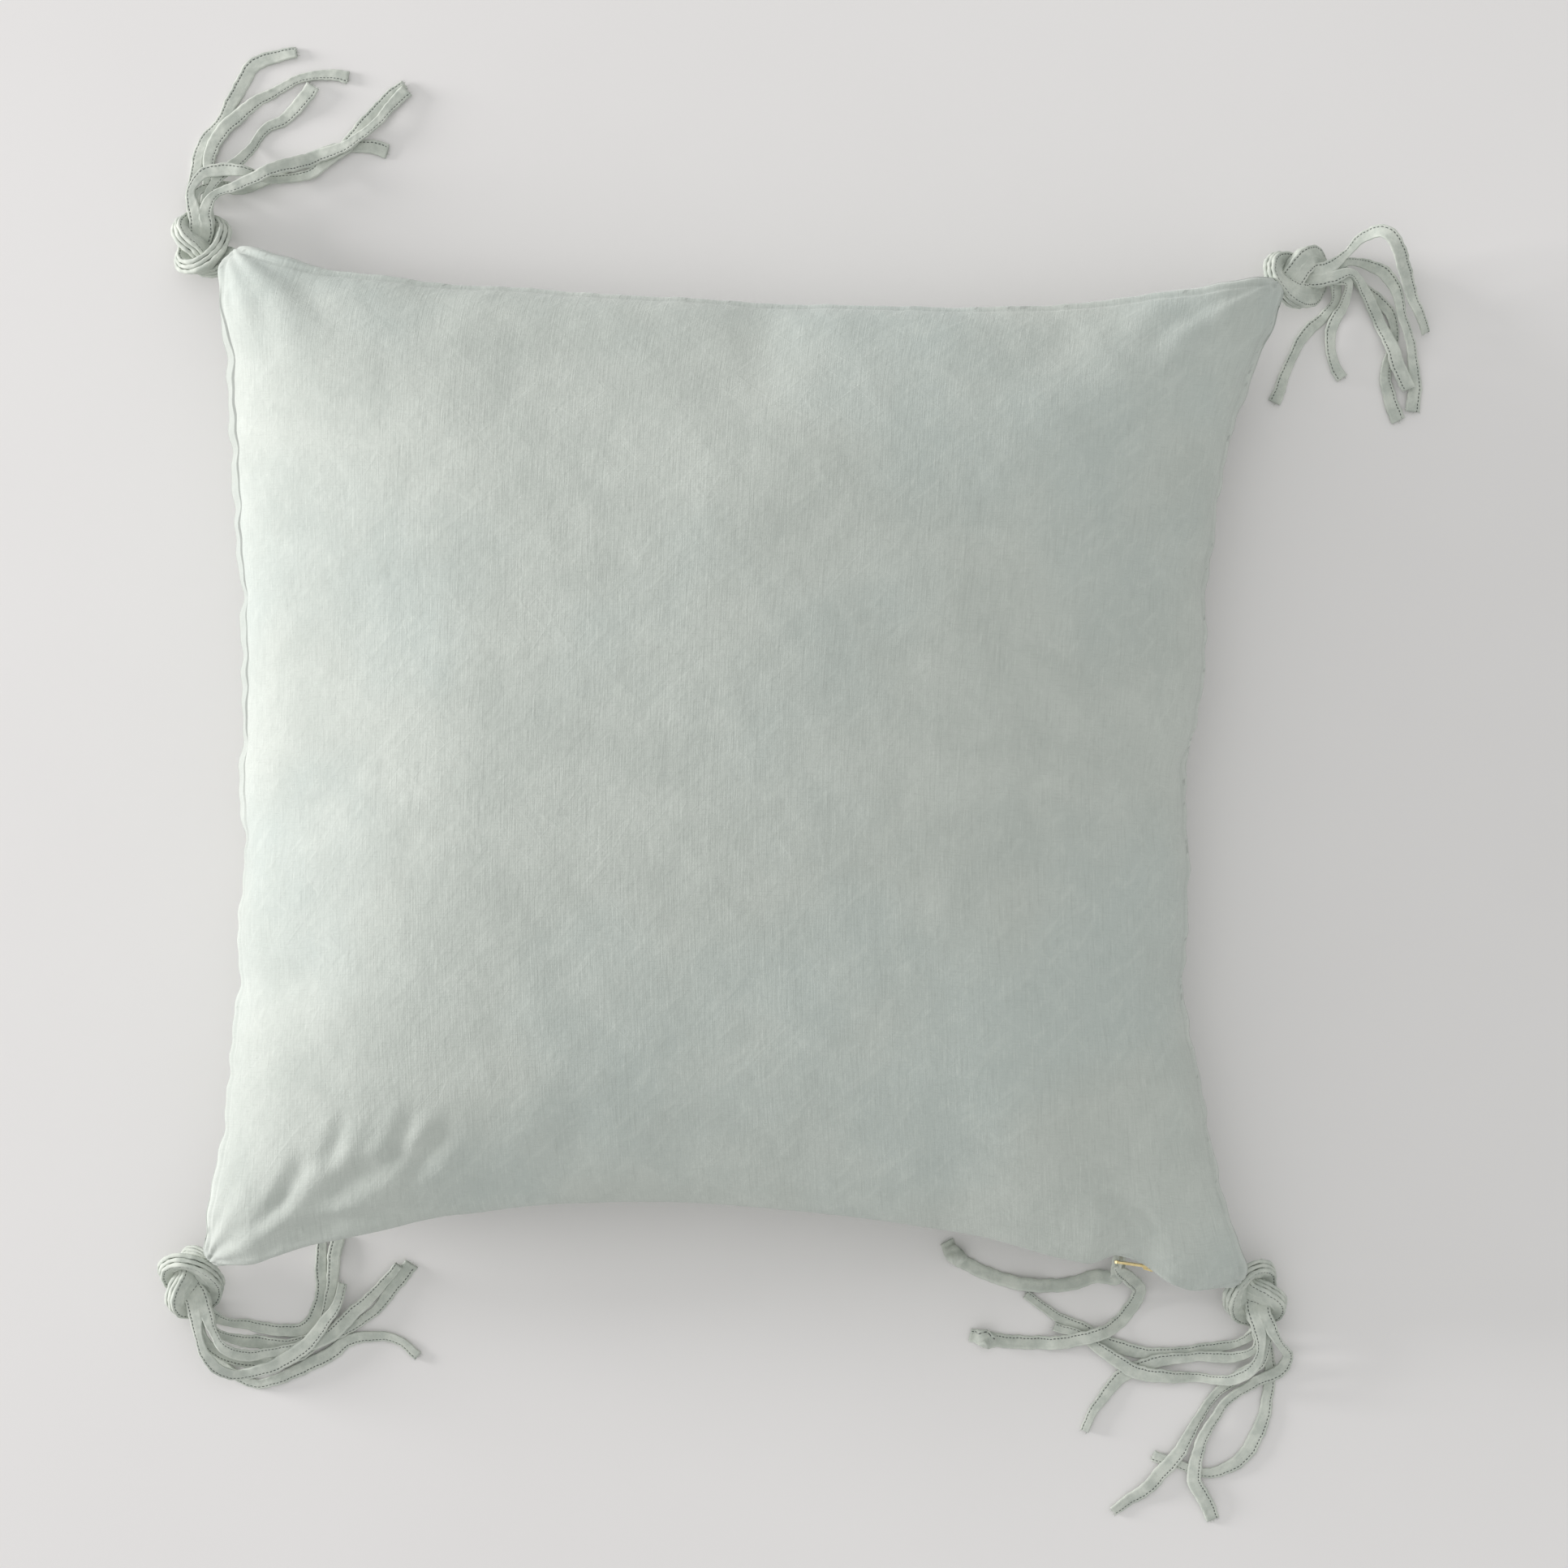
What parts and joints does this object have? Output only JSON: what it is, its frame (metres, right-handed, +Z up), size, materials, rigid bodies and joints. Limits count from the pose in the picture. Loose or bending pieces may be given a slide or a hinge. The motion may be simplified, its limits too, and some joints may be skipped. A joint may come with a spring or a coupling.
{
  "type": "floor cushion",
  "caption": "Square stuffed floor cushion in a linen cover with a side zip, a fabric tie through the zip pull and a knotted bunch of fabric ties at each corner.",
  "frame": {"origin": "middle of the flat part of the back panel that the cushion lies on, under the middle of its corners", "axes": "+Z up through the thickness, +Y away from the side with the zip, +X along the zip towards its closed end"},
  "size_m": [0.9064, 1.0523, 0.1856],
  "materials": {
    "linen": "washed slub linen, matt",
    "tie": "stitched linen tube, matt",
    "casing": "cotton ticking",
    "filling": "loose polyester fibre",
    "zip_tape": "woven tape",
    "brass": "polished"
  },
  "bodies": {
    "cushion": {"cover_back_panel": "linen", "cover_front_panel": "linen", "insert_casing_back": "casing", "insert_casing_front": "casing", "insert_filling": "filling", "tie_far_left_1": "tie", "tie_far_left_2": "tie", "tie_far_left_3": "tie", "tie_far_left_4": "tie", "tie_far_left_5": "tie", "tie_far_left_6": "tie", "tie_far_right_1": "tie", "tie_far_right_2": "tie", "tie_far_right_3": "tie", "tie_far_right_4": "tie", "tie_far_right_5": "tie", "tie_far_right_6": "tie", "tie_near_left_1": "tie", "tie_near_left_2": "tie", "tie_near_left_3": "tie", "tie_near_left_4": "tie", "tie_near_left_5": "tie", "tie_near_left_6": "tie", "tie_near_right_1": "tie", "tie_near_right_2": "tie", "tie_near_right_3": "tie", "tie_near_right_4": "tie", "tie_near_right_5": "tie", "tie_near_right_6": "tie", "zip_bottom_stop": "brass", "zip_tape_back": "zip_tape", "zip_tape_front": "zip_tape", "zip_teeth_back": "brass", "zip_teeth_front": "brass", "zip_top_stop_back": "brass", "zip_top_stop_front": "brass"},
    "slider": {"zip_slider": "brass"},
    "pull": {"zip_pull": "brass", "zip_pull_tie": "tie"}
  },
  "joints": [
    {"name": "zip_run", "type": "hinge", "parent": "cushion", "child": "slider", "pos_m": [0, -1.50948, 0.058], "axis": [0, 0, 1], "range_deg": [0, 28.9]},
    {"name": "pull_swing", "type": "hinge", "parent": "slider", "child": "pull", "pos_m": [0.3021, -0.34154, 0.058], "axis": [0, 0, 1], "range_deg": [-7, 157], "deforming": ["zip_pull_tie"]}
  ]
}
